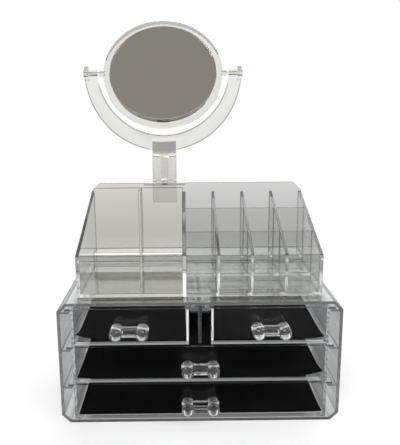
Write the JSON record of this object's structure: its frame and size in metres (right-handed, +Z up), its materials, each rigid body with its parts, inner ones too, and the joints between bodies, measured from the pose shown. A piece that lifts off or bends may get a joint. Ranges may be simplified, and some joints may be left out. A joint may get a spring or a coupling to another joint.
{
  "type": "makeup organizer",
  "caption": "Clear chest of black-lined drawers with a divided tray on top and a round mirror that swivels and tilts in a crescent yoke.",
  "frame": {"origin": "centre of the chest's underside", "axes": "+Z up, front faces -Y, +X to the viewer's right"},
  "size_m": [0.24, 0.1646, 0.3477],
  "materials": {
    "casing_clear": "clear moulded plastic",
    "drawer_clear": "clear moulded plastic",
    "tray_clear": "clear moulded plastic",
    "stand_clear": "clear moulded plastic",
    "frame_clear": "clear moulded plastic",
    "knob_clear": "clear moulded plastic",
    "liner_black": "matt black velvet paper",
    "glass_silver": "silvered glass"
  },
  "bodies": {
    "chest": {"chest_casing": "casing_clear", "centre_divider": "casing_clear"},
    "drawer_top_left": {"small_drawer_left": "drawer_clear", "small_liner_left": "liner_black", "small_knob_left": "knob_clear"},
    "drawer_top_right": {"small_drawer_right": "drawer_clear", "small_liner_right": "liner_black", "small_knob_right": "knob_clear"},
    "drawer_middle": {"middle_drawer": "drawer_clear", "middle_liner": "liner_black", "middle_knob": "knob_clear"},
    "drawer_bottom": {"bottom_drawer": "drawer_clear", "bottom_liner": "liner_black", "bottom_knob": "knob_clear"},
    "tray": {"upper_tray": "tray_clear"},
    "stand": {"mirror_foot": "stand_clear", "mirror_post": "stand_clear"},
    "yoke": {"mirror_yoke": "stand_clear", "pivot_pin_left": "stand_clear", "pivot_pin_right": "stand_clear"},
    "mirror": {"mirror_frame": "frame_clear", "front_bezel": "frame_clear", "rear_bezel": "frame_clear", "plain_glass": "glass_silver", "magnifying_glass": "glass_silver"}
  },
  "joints": [
    {"name": "top_left_drawer_slide", "type": "slide", "parent": "chest", "child": "drawer_top_left", "axis": [0, -1, 0], "range_m": [0, 0.105]},
    {"name": "top_right_drawer_slide", "type": "slide", "parent": "chest", "child": "drawer_top_right", "axis": [0, -1, 0], "range_m": [0, 0.105]},
    {"name": "middle_drawer_slide", "type": "slide", "parent": "chest", "child": "drawer_middle", "axis": [0, -1, 0], "range_m": [0, 0.105]},
    {"name": "bottom_drawer_slide", "type": "slide", "parent": "chest", "child": "drawer_bottom", "axis": [0, -1, 0], "range_m": [0, 0.105]},
    {"name": "tray_lift", "type": "slide", "parent": "chest", "child": "tray", "axis": [0, 0, 1], "range_m": [0, 0.06]},
    {"name": "stand_lift", "type": "slide", "parent": "tray", "child": "stand", "axis": [0, 0, 1], "range_m": [0, 0.04]},
    {"name": "yoke_swivel", "type": "hinge", "parent": "stand", "child": "yoke", "pos_m": [-0.0313, 0.0495, 0.2225], "axis": [0, 0, 1], "continuous": true},
    {"name": "mirror_tilt", "type": "hinge", "parent": "yoke", "child": "mirror", "pos_m": [-0.0313, 0.0495, 0.297], "axis": [1, 0, 0], "continuous": true}
  ]
}
